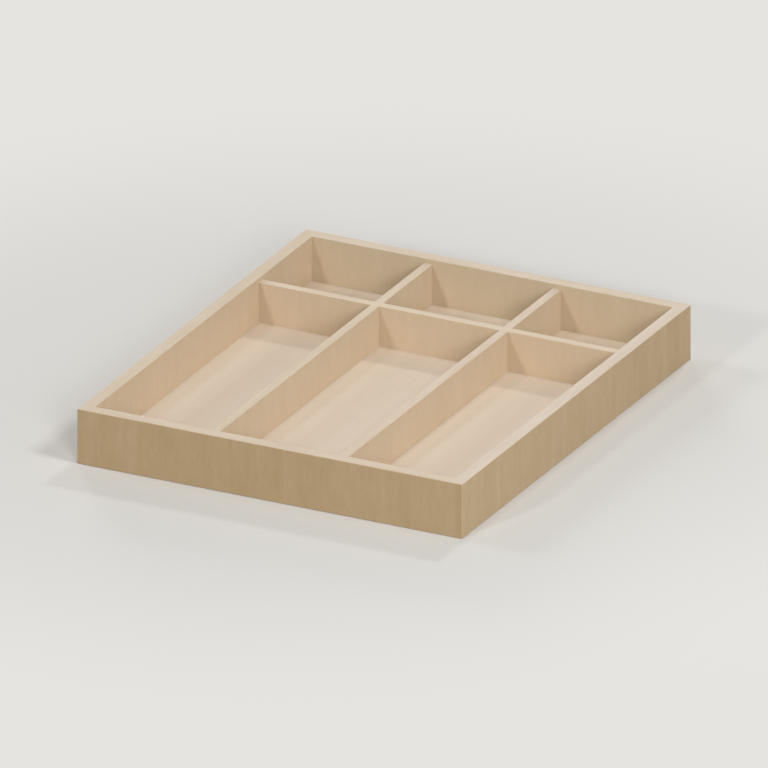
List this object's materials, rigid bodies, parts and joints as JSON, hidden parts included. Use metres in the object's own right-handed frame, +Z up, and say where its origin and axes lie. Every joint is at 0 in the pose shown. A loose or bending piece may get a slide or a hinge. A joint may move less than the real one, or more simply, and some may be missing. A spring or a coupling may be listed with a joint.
{
  "type": "cutlery tray",
  "caption": "Flat open wooden cutlery tray for a kitchen drawer: mitred frame, grooved floor, long compartments in front and short ones behind.",
  "frame": {"origin": "middle of the tray's outline on the surface that it stands on", "axes": "+X to the right along the front, +Y from front to back along the long compartments, +Z up"},
  "size_m": [0.413, 0.491, 0.057],
  "materials": {
    "wall_board": "sanded birch, clear matt lacquer",
    "divider_board": "sanded birch, clear matt lacquer",
    "base_plywood": "birch-faced plywood, clear matt lacquer",
    "spline_plywood": "raw birch plywood, glued in",
    "brad_steel": "bright drawn wire"
  },
  "bodies": {
    "root": {"front_wall": "wall_board", "back_wall": "wall_board", "left_wall": "wall_board", "right_wall": "wall_board", "base_panel": "base_plywood", "left_long_divider": "divider_board", "right_long_divider": "divider_board", "cross_divider": "divider_board", "front_left_spline": "spline_plywood", "front_right_spline": "spline_plywood", "back_left_spline": "spline_plywood", "back_right_spline": "spline_plywood", "base_brads": "brad_steel"}
  },
  "joints": []
}
